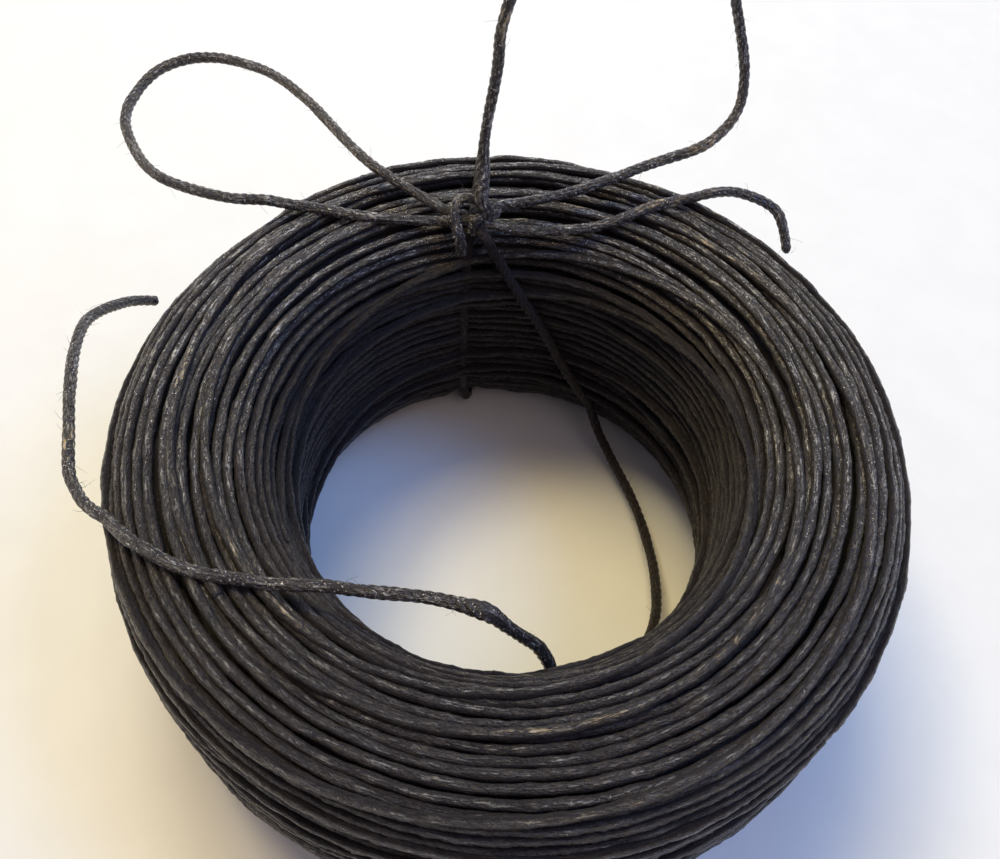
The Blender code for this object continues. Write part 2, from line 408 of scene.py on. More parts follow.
def lay_skin():
    """Lays the outermost turns: place in turns, radius, level, place round the section."""
    rng = np.random.default_rng(SEED + 5)
    outline, outward = skin_outline()
    cells = len(outline)
    places = skin_places(rng, cells * CELL)
    raised = np.zeros((TURN_STEPS, cells))
    reach = int(SKIN_PRESSED / CELL)
    offsets = np.arange(-reach, reach + 1)
    behind = np.zeros(len(BRIDGE) // 2)
    lifts = []
    for start in range(0, len(places), CHUNK):
        part = places[start : start + CHUNK]
        rows = (start + np.arange(len(part))) % TURN_STEPS
        cell = np.round(part / CELL).astype(int)
        lift = np.minimum(bridged(raised[rows, cell % cells], behind), MOST_LIFT)
        behind = np.concatenate([behind, lift])[-len(behind) :]
        near = cell[:, None] + offsets
        heap_up(raised, rows, near % cells, near * CELL - part[:, None], lift, SKIN_PRESSED)
        lifts.append(lift)
    lift = smoothed(np.concatenate(lifts), SETTLING) - SKIN_SINK
    wrapped = np.arange(cells + 1) * CELL
    here = np.mod(places, cells * CELL)
    middle = interpolated(here, wrapped, np.vstack([outline, outline[:1]]))
    outward = interpolated(here, wrapped, np.vstack([outward, outward[:1]]))
    radius, level = (middle + lift[:, None] * outward).T
    return np.arange(len(places)) / TURN_STEPS, radius, np.maximum(level, SKIN_FLOOR), here


# ---------------------------------------------------------------- mesh building


class Tubes:
    """Collects closed tubes and turns them into one mesh piece."""

    def __init__(self):
        self.points, self.quads, self.triangles = [], [], []
        self.along, self.around, self.tint, self.painted_light = [], [], [], []
        self.count = 0

    def add(self, path, across, upward, radii, tint, painted_light, place=0.0):
        """One tube. Each station has two directions, and a radius and a level of painted light for
        each side.
        """
        stations, sides = radii.shape
        turn = np.arange(sides)[:, None] * math.tau / sides
        ring = across[:, None, :] * np.cos(turn) + upward[:, None, :] * np.sin(turn)
        points = path[:, None, :] + ring * radii[:, :, None]
        ends = path[[0, -1]]
        for corners in (points, ends):
            corners[..., 2] = np.maximum(corners[..., 2], TABLE_Z + TABLE_GAP)
        index = self.count + np.arange(stations * sides).reshape(stations, sides)
        here = index[:-1]
        ahead = index[1:]
        quads = np.stack([here, np.roll(here, -1, 1), np.roll(ahead, -1, 1), ahead], axis=-1)
        first = self.count + stations * sides
        start = np.stack([np.roll(index[0], -1), index[0], np.full(sides, first)], axis=-1)
        finish = np.stack([index[-1], np.roll(index[-1], -1), np.full(sides, first + 1)], axis=-1)
        length = distance_along(path)
        self.points += [points.reshape(-1, 3), ends]
        self.quads.append(quads.reshape(-1, 4))
        self.triangles += [start, finish]
        self.along += [np.repeat(place + length, sides), place + length[[0, -1]]]
        self.around += [np.tile(np.arange(sides) / sides, stations), np.zeros(2)]
        self.tint += [np.repeat(tint, sides), tint[[0, -1]]]
        self.painted_light += [painted_light.ravel(), painted_light[[0, -1], 0]]
        self.count = first + 2

    def piece(self, name, material):
        """One mesh object of all the tubes so far."""
        points = np.concatenate(self.points) * MM
        quads = np.concatenate(self.quads)
        triangles = np.concatenate(self.triangles)
        corners = np.concatenate([quads.ravel(), triangles.ravel()])
        sizes = np.concatenate([np.full(len(quads), 4), np.full(len(triangles), 3)])
        starts = np.concatenate([[0], np.cumsum(sizes)[:-1]])
        mesh = bpy.data.meshes.new(name)
        mesh.vertices.add(len(points))
        mesh.vertices.foreach_set("co", points.ravel())
        mesh.loops.add(len(corners))
        mesh.loops.foreach_set("vertex_index", corners.astype(np.int32))
        mesh.polygons.add(len(sizes))
        mesh.polygons.foreach_set("loop_start", starts.astype(np.int32))
        mesh.update(calc_edges=True)
        along = np.concatenate(self.along)[corners]
        around = np.concatenate(self.around)[corners]
        wrapped = around[: 4 * len(quads)].reshape(-1, 4)
        seam = (wrapped.max(axis=1) - wrapped.min(axis=1) > 0.5)[:, None]
        wrapped[...] = np.where(seam & (wrapped < 0.5), wrapped + 1.0, wrapped)
        layer = mesh.uv_layers.new(name="cord")
        layer.uv.foreach_set("vector", np.stack([along, around], 1).ravel())
        # painted_light: how much painted highlight a side gets, low where it is painted as in
        # shade
        for label, values in (("tint", self.tint), ("painted_light", self.painted_light)):
            attribute = mesh.attributes.new(label, "FLOAT", "POINT")
            attribute.data.foreach_set("value", np.concatenate(values))
        mesh.shade_smooth()
        mesh.materials.append(material)
        mesh.validate()
        return new_object(name, mesh)


def plied(places, sides, groove, phase):
    """Share of the radius round a cord of twisted plies: lobes that meet in grooves."""
    turn = np.arange(sides) * math.tau / sides
    lobes = np.abs(np.cos(PLIES / 2 * (turn[None, :] - math.tau * places[:, None] / LAY + phase)))
    return 1.0 - groove * (1.0 - lobes)


# ---------------------------------------------------------------- materials

# Colours that depend on the strand run from the first to the second with its tint
DARK_WAX = ((0.0180, 0.0138, 0.0165), (0.0230, 0.0202, 0.0218))
# The grey is partly wax bloom and partly the painted highlight of the crests
WAX_BLOOM_AND_HIGHLIGHT = ((0.50, 0.49, 0.48), (0.60, 0.555, 0.485))
WORN_BROWN = (0.62, 0.46, 0.24)
SPECK = (0.85, 0.80, 0.74)
CORD_FINISH = {
    "IOR": 1.5,
    "Specular Tint": (1.0, 0.92, 0.88, 1.0),
    "Sheen Weight": 0.06,
    "Sheen Roughness": 0.45,
    "Sheen Tint": (0.8, 0.78, 0.75, 1.0),
}
CORD_BUMP = 0.12
MOTTLE_BUMP = 0.03


def math_node(tree, operation, first, second=None, clamp=False):
    """One operation on sockets or plain numbers."""
    node = tree.nodes.new("ShaderNodeMath")
    node.operation = operation
    node.use_clamp = clamp
    for socket, value in zip(node.inputs, (first, second)):
        if value is None:
            continue
        if isinstance(value, (int, float)):
            socket.default_value = value
        else:
            tree.links.new(value, socket)
    return node.outputs[0]


def times(tree, first, second, clamp=False):
    return math_node(tree, "MULTIPLY", first, second, clamp)


def ramp(tree, value, low, high, to_low=0.0, to_high=1.0):
    """A smooth step of a value from low to high."""
    node = tree.nodes.new("ShaderNodeMapRange")
    node.interpolation_type = "SMOOTHSTEP"
    tree.links.new(value, node.inputs["Value"])
    numbers = {"From Min": low, "From Max": high, "To Min": to_low, "To Max": to_high}
    for name, number in numbers.items():
        node.inputs[name].default_value = number
    return node.outputs["Result"]


def mixed(tree, share, first, second):
    """Two colours, sockets or plain ones, mixed by a share."""
    node = tree.nodes.new("ShaderNodeMix")
    node.data_type = "RGBA"
    tree.links.new(share, node.inputs["Factor"])
    for socket, value in ((node.inputs["A"], first), (node.inputs["B"], second)):
        if isinstance(value, tuple):
            socket.default_value = (*value, 1.0)
        else:
            tree.links.new(value, socket)
    return node.outputs["Result"]


def noise(tree, vector, scale, detail=3.0, roughness=0.6):
    node = tree.nodes.new("ShaderNodeTexNoise")
    node.inputs["Scale"].default_value = scale
    node.inputs["Detail"].default_value = detail
    node.inputs["Roughness"].default_value = roughness
    tree.links.new(vector, node.inputs["Vector"])
    return node.outputs["Fac"]


def cord_vector(tree, along, around, stretch, girth):
    """Texture place on a cord: along it, and round it without a seam."""
    turn = times(tree, around, math.tau)
    node = tree.nodes.new("ShaderNodeCombineXYZ")
    tree.links.new(times(tree, along, stretch), node.inputs["X"])
    for name, wave in (("Y", "COSINE"), ("Z", "SINE")):
        tree.links.new(times(tree, math_node(tree, wave, turn), girth), node.inputs[name])
    return node.outputs["Vector"]


def point_value(tree, name):
    """A mesh attribute as a socket."""
    node = tree.nodes.new("ShaderNodeAttribute")
    node.attribute_name = name
    return node.outputs["Fac"]


def new_material(name):
    """A material with its node tree and its surface shader."""
    material = bpy.data.materials.new(name)
    material.use_nodes = True
    return material, material.node_tree, material.node_tree.nodes["Principled BSDF"]


def add_bump(tree, shader, height, strength, distance):
    bump = tree.nodes.new("ShaderNodeBump")
    bump.inputs["Strength"].default_value = strength
    bump.inputs["Distance"].default_value = distance * MM
    tree.links.new(height, bump.inputs["Height"])
    tree.links.new(bump.outputs["Normal"], shader.inputs["Normal"])


def waxed_cord(name, ply_relief, groove_shade, lift):
    """Black waxed cord: twisted plies, fibre streaks, grey wax bloom with a painted highlight on
    the crests and painted shade in the ply grooves, brown wear, specks.
    """
    material, tree, shader = new_material(name)
    uv = tree.nodes.new("ShaderNodeUVMap")
    uv.uv_map = "cord"
    split = tree.nodes.new("ShaderNodeSeparateXYZ")
    tree.links.new(uv.outputs["UV"], split.inputs["Vector"])
    along = split.outputs["X"]
    around = split.outputs["Y"]
    strand = point_value(tree, "tint")
    # The painted light from the mesh: painted highlight on crests that face out, painted shade
    # elsewhere
    painted_light = point_value(tree, "painted_light")
    crest = ramp(tree, painted_light, 0.7, 1.0)

    def pattern(stretch, girth, scale, detail, roughness):
        place = cord_vector(tree, along, around, stretch, girth)
        return noise(tree, place, scale, detail, roughness)

    fibres = pattern(0.35, 1.15, 2.2, 4.0, 0.65)
    streaks = pattern(0.9, 0.9, 3.0, 4.0, 0.65)
    patches = pattern(0.4, 0.35, 1.6, 2.0, 0.5)
    blotches = pattern(0.13, 0.3, 1.3, 3.0, 0.6)
    grains = pattern(2.2, 0.9, 3.2, 1.0, 0.5)

    # The plies' lobes, on a twist that is not quite even
    waver = times(tree, math_node(tree, "SUBTRACT", blotches, 0.5), 0.9)
    twist = math_node(tree, "SUBTRACT", around, math_node(tree, "DIVIDE", along, LAY))
    twist = math_node(tree, "ADD", twist, waver)
    swing = math_node(tree, "COSINE", times(tree, twist, math.tau * PLIES / 2))
    lobes = math_node(tree, "ABSOLUTE", swing)

    # Grey on the crests, partly wax bloom and partly a painted highlight, broken up by fibres,
    # patches and streaks, with painted shade in the ply grooves
    bloom_and_highlight = times(tree, crest, ramp(tree, fibres, 0.49, 0.6, 0.04, 1.0))
    bloom_and_highlight = times(tree, bloom_and_highlight, ramp(tree, patches, 0.42, 0.6, 0.3, 1.0))
    bloom_and_highlight = times(tree, bloom_and_highlight, ramp(tree, streaks, 0.4, 0.6, 0.2, 1.0))
    bloom_and_highlight = times(tree, bloom_and_highlight, ramp(tree, lobes, 0.1, 0.8, groove_shade, 1.0))
    dark = mixed(tree, strand, *DARK_WAX)
    grey = mixed(tree, strand, *WAX_BLOOM_AND_HIGHLIGHT)
    colour = mixed(tree, times(tree, bloom_and_highlight, lift, clamp=True), dark, grey)

    # Brown where some strands are worn through, and pale specks, both shown only where the painted
    # highlight of the crests is
    worn = times(tree, ramp(tree, strand, 0.6, 0.85), ramp(tree, patches, 0.5, 0.58))
    worn = times(tree, worn, ramp(tree, fibres, 0.48, 0.57, 0.05, 1.0))
    colour = mixed(tree, times(tree, worn, crest), colour, WORN_BROWN)
    speck = times(tree, ramp(tree, grains, 0.68, 0.72), ramp(tree, crest, 0.3, 0.7))
    tree.links.new(mixed(tree, speck, colour, SPECK), shader.inputs["Base Color"])

    # Glossier on the crests than in the shade of the neighbours
    gloss = ramp(tree, painted_light, 0.4, 0.95, 0.12, 0.66)
    tree.links.new(gloss, shader.inputs["Specular IOR Level"])
    tree.links.new(ramp(tree, streaks, 0.3, 0.7, 0.15, 0.34), shader.inputs["Roughness"])
    for label, value in CORD_FINISH.items():
        shader.inputs[label].default_value = value

    relief = times(tree, ramp(tree, lobes, 0.0, 0.75), ply_relief)
    strands = ramp(tree, fibres, 0.4, 0.6)
    relief = math_node(tree, "ADD", relief, times(tree, strands, 0.55))
    relief = math_node(tree, "ADD", relief, times(tree, streaks, 0.9))
    add_bump(tree, shader, relief, 1.0, CORD_BUMP)
    return material


def mottled(name, first, second, scale, roughness):
    """A matt surface whose colour drifts between two tones, with a little relief."""
    material, tree, shader = new_material(name)
    place = tree.nodes.new("ShaderNodeTexCoord").outputs["Object"]
    drift = noise(tree, place, scale)
    colour = mixed(tree, ramp(tree, drift, 0.35, 0.65), first, second)
    tree.links.new(colour, shader.inputs["Base Color"])
    shader.inputs["Roughness"].default_value = roughness
    add_bump(tree, shader, drift, 0.4, MOTTLE_BUMP)
    return material


# ---------------------------------------------------------------- wound ring

# Sides, step and share of the thickness of a cord, for turns in full view and below
IN_VIEW = (12, 0.36, 1.0)
GLIMPSED = (8, 0.7, 0.98)
SEEN_THROUGH = 1.7
SHORTEST_RUN = 12

# The layer that each eighth of the outermost turns, from underneath by the bore, stands for
SKIN_LAYERS = (0, 0, 2, 4, 6, 7, 7, 7)

# Mesh of the turns too deep to be seen
CORE_SHRINK = 2.3
CORE_SIDES = 40
CORE_STEPS = 96


def runs_of(mask, least):
    """First and last index of each stretch where the mask holds."""
    edges = np.flatnonzero(np.diff(np.concatenate([[0], mask.astype(np.int8), [0]])))
    return [(a, b) for a, b in edges.reshape(-1, 2) if b - a >= least]


def widened(mask, reach):
    return np.convolve(mask, np.ones(2 * reach + 1), mode="same") > 0.5


def crest_share(across, upward, sides, facing):
    """Share of a painted highlight round a cord: 1 on the side that faces out, 0 from its flanks
    inwards.
    """
    turn = np.arange(sides) * math.tau / sides
    level = np.sum(across * facing, axis=1)[:, None] * np.cos(turn)
    rise = np.sum(upward * facing, axis=1)[:, None] * np.sin(turn)
    return np.clip(level + rise + 0.05, 0.0, 1.0)


def lit_and_shaded_by_place(path):
    """Painted shade in the bore and low down, and painted light brighter at the back than at the
    front.
    """
    in_bore = np.clip((MID_R - 3.5 - radius_of(path)) / 2.5, 0.0, 1.0)
    low = np.clip((MID_Z + 4.0 - path[:, 2]) / 9.0, 0.0, 1.0)
    back = np.clip((path[:, 1] - 4.0) / 16.0, -1.0, 1.0) * (1.0 - in_bore)
    return (1.0 - 0.3 * in_bore) * (1.0 - 0.17 * low) * (1.0 + 0.15 * back)


def add_laid(tubes, path, sides, step, thickness, rng, place):
    """One stretch of laid cord, with its wear, a painted highlight on the side that faces out, and
    painted shade on turns that lie deep.
    """
    path, places = resampled(path, step)
    stray = np.stack([smooth_noise(rng, places, 2.1) for _ in range(3)], axis=1)
    path = path + 0.05 * stray
    forward = unit(np.gradient(path, axis=0))
    outward = unit(path * (1.0, 1.0, 0.0))
    upward = unit(np.cross(forward, outward))
    outward = np.cross(upward, forward)
    swell = 1.0 + 0.12 * smooth_noise(rng, places, 3.1) + 0.10 * smooth_noise(rng, places, 0.9)
    radii = LAID_R * thickness * swell[:, None] * plied(places + place, sides, 0.07, 0.0)
    radii = radii * (1.0 + 0.05 * rng.standard_normal(radii.shape))
    wear = 0.5 + 0.5 * smooth_noise(rng, places, 14.0)
    wear = np.clip(wear * rng.uniform(0.55, 1.15), 0.0, 1.0)
    rounded = 2.0 * path - out_of_round(path)
    painted_light = crest_share(outward, upward, sides, section_outward(rounded))
    depth = depth_in_section(radius_of(rounded), rounded[:, 2])
    # Painted shade on turns that lie deeper than the outline, among and under their neighbours,
    # and painted light by place
    painted_light = painted_light * (np.clip(1.15 - depth / 1.1, 0.1, 1.0) * lit_and_shaded_by_place(path))[:, None]
    tubes.add(path, outward, upward, radii, wear, painted_light, place)


def out_of_round(path):
    """Wound by hand, the ring bulges on one side and stands back a little at the near one."""
    radius = radius_of(path)
    angle = np.arctan2(path[:, 1], path[:, 0])
    bulge = 0.6 * np.cos(angle - math.radians(86))
    bulge = bulge + 0.2 * np.cos(2 * (angle - math.radians(105)))
    outside = np.clip((radius - MID_R) / HALF_W, 0.0, 1.0)
    inside = np.clip((MID_R - radius) / HALF_W, 0.0, 1.0)
    shift = outside * bulge + inside * 0.4 * np.clip(-np.sin(angle), 0.0, 1.0)
    return path * (1.0 + shift[:, None] / radius[:, None] * (1.0, 1.0, 0.0))


def share_in_bore(path):
    """0 over the ring's top, 1 on the wall of its bore."""
    return np.clip((MID_R - 3.0 - radius_of(path)) / 2.5, 0.0, 1.0)


def pressed_by_tie(path):
    """The laid turns give way under the tie cord, most of all in the bore and below."""
    depth = depth_in_section(radius_of(path), path[:, 2])
    aside = np.abs(path[:, 0] - TIE_X)
    low = np.clip(1.0 - (path[:, 2] - SKIN_FLOOR) / 5.0, 0.0, 1.0)
    in_bore = share_in_bore(path)
    reach = np.where(low > 0, 2.2, 1.6)
    near = eased(np.clip((reach - aside) / 1.3, 0.0, 1.0)) * (path[:, 1] > 0)
    sink = (0.1 + 0.12 * in_bore) * near * np.exp(-np.maximum(depth, 0.0) / 2.0)
    sink = sink * (1.0 - 0.6 * low)
    moved = path - sink[:, None] * section_outward(path)
    moved[:, 2] += 0.95 * near * low**2
    return moved


def laid_piece(name, path, mask, detail, material, rng, layer):
    """One piece of laid cord, of the stretches of a path where the mask holds."""
    tubes = Tubes()
    for first, last in runs_of(mask, SHORTEST_RUN):
        place = (first * 0.37) % 600.0
        add_laid(tubes, path[first:last], *detail, rng, place)
    piece = tubes.piece(name, material)
    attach(piece, "wound_ring")
    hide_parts(LAYER_NODES[layer])


def spun(turns, radii, levels):
    """The cord's path in space, from its place in turns, its radius and its level."""
    angle = math.tau * turns
    path = np.stack([radii * np.cos(angle), radii * np.sin(angle), levels], axis=1)
    return pressed_by_tie(out_of_round(path))


def wound_ring(material):
    """The inner turns, one piece to a traverse, and the outermost ones in eight pieces."""
    rng = np.random.default_rng(SEED + 1)
    turns, radii, levels, traverses = lay_cord()
    path = spun(turns, radii, levels)
    seen = widened(depth_in_section(radii, levels) < SEEN_THROUGH, 24)
    count = traverses.max() + 1
    for traverse in range(count):
        here = seen & widened(traverses == traverse, 3)
        layer = traverse * len(LAYER_NODES) // count
        name = f"laid_turns_{traverse + 1:02d}"
        laid_piece(name, path, here, GLIMPSED, material, rng, layer)

    turns, radii, levels, places = lay_skin()
    path = spun(turns, radii, levels)
    share = places / places.max()
    parts = len(SKIN_LAYERS)
    for i, layer in enumerate(SKIN_LAYERS):
        here = widened((share >= i / parts) & (share < (i + 1) / parts), 3)
        laid_piece(f"outermost_turns_{i + 1}", path, here, IN_VIEW, material, rng, layer)


def buried_turns(material):
    """The turns too deep to be seen, as one dark body that closes the gaps between strands."""
    turn = np.arange(CORE_SIDES) * math.tau / CORE_SIDES
    radius, level = section_points(turn, HALF_W - CORE_SHRINK, HALF_H - CORE_SHRINK)
    around = np.arange(CORE_STEPS) * math.tau / CORE_STEPS
    points = np.stack([
        np.outer(np.cos(around), radius),
        np.outer(np.sin(around), radius),
        np.tile(level, (CORE_STEPS, 1)),
    ], axis=-1).reshape(-1, 3)
    index = np.arange(CORE_STEPS * CORE_SIDES).reshape(CORE_STEPS, CORE_SIDES)
    ahead = np.roll(index, -1, 0)
    faces = np.stack([index, ahead, np.roll(ahead, -1, 1), np.roll(index, -1, 1)], axis=-1)
    mesh = bpy.data.meshes.new("buried_turns")
    mesh.from_pydata((points * MM).tolist(), [], faces.reshape(-1, 4).tolist())
    mesh.materials.append(material)
    mesh.shade_smooth()
    obj = new_object("buried_turns", mesh)
    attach(obj, "wound_ring")


# ---------------------------------------------------------------- loose runs

CAD_CORD_SIDES = 8
FLAT_WITHIN = 0.004
LOOSE_SIDES = 24
LOOSE_STEP = 0.16
GROOVE = 0.17
# Painted highlight on the crests of loose cords, and a dimmer level that paints shade on cords in
# the bore
LOOSE_PAINTED_LIGHT = 0.93
SHADED_PAINTED_LIGHT = 0.6
HAIR_R = 0.018
HAIR_STATIONS = 7
FUZZ_PER_MM = 0.9

# The knot's two wraps as corners from its middle, and the thickness of each
KNOT_WRAPS = (
    ((1.1, 1.3, 0.35), (0.2, 1.55, 0.75), (-0.8, 1.3, 1.0), (-1.35, 0.5, 1.1),
     (-1.45, -0.5, 0.8), (-1.15, -1.4, 0.2), (-0.75, -2.1, -0.5), (-0.5, -2.7, -1.7)),
    ((1.9, 0.9, 0.1), (1.5, 0.35, 0.75), (0.9, -0.3, 0.8), (0.3, -0.9, 0.25),
     (0.2, -1.3, -0.6)),
)
WRAP_GIRTHS = (0.98, 0.76)
WRAP_HAIRS = 85
WRAP_CRUMBS = 44
CRUMB_SIZES = (0.03, 0.075)


def node_rings(name):
    """Centres of a CAD cord's rings of corners, from one end cap to the other."""
    points = node_points(name)
    corners, inverse = np.unique(points.round(3), axis=0, return_inverse=True)
    mesh = frame["nodes"][name].data
    faces = np.array([[inverse[i] for i in face.vertices] for face in mesh.polygons])
    faces = faces.reshape(-1, 3)
    links = [set() for _ in corners]
    for face in faces:
        for corner in face:
            links[corner].update(face)
    cap = None
    for face in faces:
        a, b, c = corners[face]
        normal = unit(np.cross(b - a, c - a))
        flat = np.abs((corners - a) @ normal) < FLAT_WITHIN
        near = np.linalg.norm(corners - a, axis=1) < 1.5 * CORD_D
        ring = np.flatnonzero(flat & near)
        if len(ring) == CAD_CORD_SIDES:
            cap = set(ring)
            break
    centres = []
    seen = set()
    while cap:
        centres.append(corners[sorted(cap)].mean(axis=0))
        seen |= cap
        cap = set().union(*(links[i] for i in cap)) - seen
    return np.array(centres)


def rounded_path(corners, step):
    """A Catmull-Rom curve through the corners, sampled evenly."""
    before = 2 * corners[0] - corners[1]
    after = 2 * corners[-1] - corners[-2]
    padded = np.concatenate([[before], corners, [after]])
    share = np.linspace(0.0, 1.0, 24, endpoint=False)[:, None]
    pieces = []
    for p0, p1, p2, p3 in zip(padded, padded[1:], padded[2:], padded[3:]):
        a = 2 * p0 - 5 * p1 + 4 * p2 - p3
        b = 3 * (p1 - p2) + p3 - p0
        pieces.append(0.5 * (2 * p1 + (p2 - p0) * share + a * share**2 + b * share**3))
    pieces.append(corners[-1:])
    return resampled(np.concatenate(pieces), step)


def carried_frames(path):
    """Directions across a path that turn with it as little as they can."""
    forward = unit(np.gradient(path, axis=0))
    side = np.cross(forward[0], (0.0, 0.0, 1.0))
    if np.linalg.norm(side) < 0.2:
        side = np.cross(forward[0], (1.0, 0.0, 0.0))
    sides = [unit(side)]
    for ahead in forward[1:]:
        side = sides[-1] - ahead * (sides[-1] @ ahead)
        sides.append(unit(side))
    sides = np.array(sides)
    return sides, np.cross(forward, sides)


def starting_near(corners, start):
    """The same corners, turned round if need be so that they begin near the start."""
    ahead = np.linalg.norm(corners[0] - start) <= np.linalg.norm(corners[-1] - start)
    return corners if ahead else corners[::-1]


def settled(path):
    """Lets a cord that lies over the ring down onto the laid turns."""
    gap = -depth_in_section(radius_of(path), path[:, 2]) - (CORD_R + LAID_R)
    near = np.clip((1.3 - gap) / 0.8, 0.0, 1.0)
    drop = np.clip(gap + 0.08, 0.0, 0.45) * near
    path = path - drop[:, None] * section_outward(path)
    return path + near[:, None] * (out_of_round(path) - path)


class Run:
    """The stations of one loose run of cord, which its pieces are cut from."""

    def __init__(self, corners, rng, taper_start=0.0, taper_end=0.0):
        path, self.places = rounded_path(settled(np.asarray(corners, float)), LOOSE_STEP)
        strays = np.stack([smooth_noise(rng, self.places, 2.3) for _ in range(3)], axis=1)
        self.path = path + 0.035 * strays
        self.across, self.upward = carried_frames(self.path)
        self.girth = 1.0 + 0.05 * smooth_noise(rng, self.places, 2.1)
        self.girth = self.girth + 0.03 * smooth_noise(rng, self.places, 0.8)
        self.wear = np.clip(0.35 + 0.45 * smooth_noise(rng, self.places, 9.0), 0.0, 1.0)
        self.tapered(self.places, taper_start)
        self.tapered(self.places[-1] - self.places, taper_end)

    def tapered(self, distance, reach):
        """Thins the cord towards an end, over the reach."""
        if reach > 0:
            self.girth = self.girth * (0.4 + 0.6 * np.clip(distance / reach, 0.0, 1.0) ** 0.5)

    def swollen(self, centre, reach, share):
        """Thickens the cord by a share about a place, or thins it."""
        distance = np.linalg.norm(self.path - centre, axis=1)
        self.girth = self.girth * (1.0 + share * np.exp(-((distance / reach) ** 2)))

    def add_to(self, tubes, first=0, last=None, crest_light=LOOSE_PAINTED_LIGHT):
        """Adds the stations from the first up to the last, with painted light on their crests at
        the given level.
        """
        cut = slice(first, last)
        places = self.places[cut]
        radii = CORD_R * self.girth[cut, None] * plied(places, LOOSE_SIDES, GROOVE, 0.0)
        painted_light = np.full(radii.shape, crest_light)
        frames = (self.path[cut], self.across[cut], self.upward[cut])
        tubes.add(*frames, radii, self.wear[cut], painted_light, places[0])

    def nearest(self, point):
        return int(np.argmin(np.linalg.norm(self.path - point, axis=1)))


def add_fuzz(tubes, run, rng, first, last, count, length=1.1):
    """Fine fibres that stand out of a cord, each a thin curved hair."""
    for _ in range(count):
        at = rng.integers(first, last)
        turn = rng.uniform(0.0, math.tau)
        out = run.across[at] * math.cos(turn) + run.upward[at] * math.sin(turn)
        lean = run.across[at] * rng.normal() + run.upward[at] * rng.normal()
        lean = lean + 1.6 * rng.choice((-1.0, 1.0)) * np.cross(run.across[at], run.upward[at])
        reach = length * rng.uniform(0.35, 1.0)
        share = np.linspace(0.0, 1.0, HAIR_STATIONS)[:, None]
        root = run.path[at] + out * CORD_R * 0.8
        path = root + reach * (out * share * rng.uniform(0.3, 0.9) + 0.45 * lean * share**2)
        across, upward = carried_frames(path)
        radii = np.full((HAIR_STATIONS, 3), HAIR_R) * (1.0 - 0.6 * share)
        tint = np.full(HAIR_STATIONS, 0.5)
        tubes.add(path, across, upward, radii, tint, np.full(radii.shape, 0.9))


def fuzz_count(run, first, last):
    return int(FUZZ_PER_MM * (run.places[last - 1] - run.places[first]))


def loose_piece(name, run, material, node, rng, first=0, last=None, crest_light=LOOSE_PAINTED_LIGHT):
    """One piece of a loose run with its fuzz, standing for a CAD node."""
    last = len(run.path) if last is None else last
    tubes = Tubes()
    run.add_to(tubes, first, last, crest_light)
    add_fuzz(tubes, run, rng, first, last, fuzz_count(run, first, last))
    piece = tubes.piece(name, material)
    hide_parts(node)
    return piece


def joint_pivot(name):
    """A hinge's pivot in millimetres."""
    joint = next(joint for joint in frame["joints"] if joint["name"] == name)
    return np.array(joint["pos_m"]) / MM


def bent(piece):
    """Bakes a piece's placement into its mesh."""
    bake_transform(piece)


def bow_loops(material, rng):
    """Both loops and the short end, each carried on into the knot at its roots."""
    corners = starting_near(node_rings("left_bow_loop"), KNOT + (-2.3, -0.4, 0.0))
    corners = np.concatenate([[KNOT + (0.3, -0.1, 0.0)], corners, [KNOT + (-0.3, 0.3, 0.1)]])
    run = Run(corners, rng)
    piece = loose_piece("left_bow_loop_cord", run, material, "left_bow_loop", rng)
    bent(piece)

    corners = starting_near(node_rings("upright_bow_loop"), KNOT + (0.2, 0.3, 2.0))
    corners[:3] += np.array((0.55, 0.35, 0.15))[:, None] * (1.0, 0.0, 0.0)
    foot = KNOT + np.array(((1.25, -0.2, 0.0), (1.15, 0.1, 1.0)))
    root = KNOT + np.array(((1.7, 0.2, 0.4), (0.8, -0.1, 0.1)))
    run = Run(np.concatenate([foot, corners, root]), rng)
    run.swollen(KNOT + (0.7, 0.8, 2.4), 2.6, 0.4)
    piece = loose_piece("upright_bow_loop_cord", run, material, "upright_bow_loop", rng)
    bent(piece)

    corners = starting_near(node_rings("short_bow_end"), KNOT + (2.3, -0.6, 0.0))
    corners = np.concatenate([[KNOT + (-0.2, -0.1, 0.0), KNOT + (1.2, -0.4, 0.05)], corners])
    run = Run(corners, rng, taper_end=0.5)
    piece = loose_piece("short_bow_end_cord", run, material, "short_bow_end", rng)
    bent(piece)


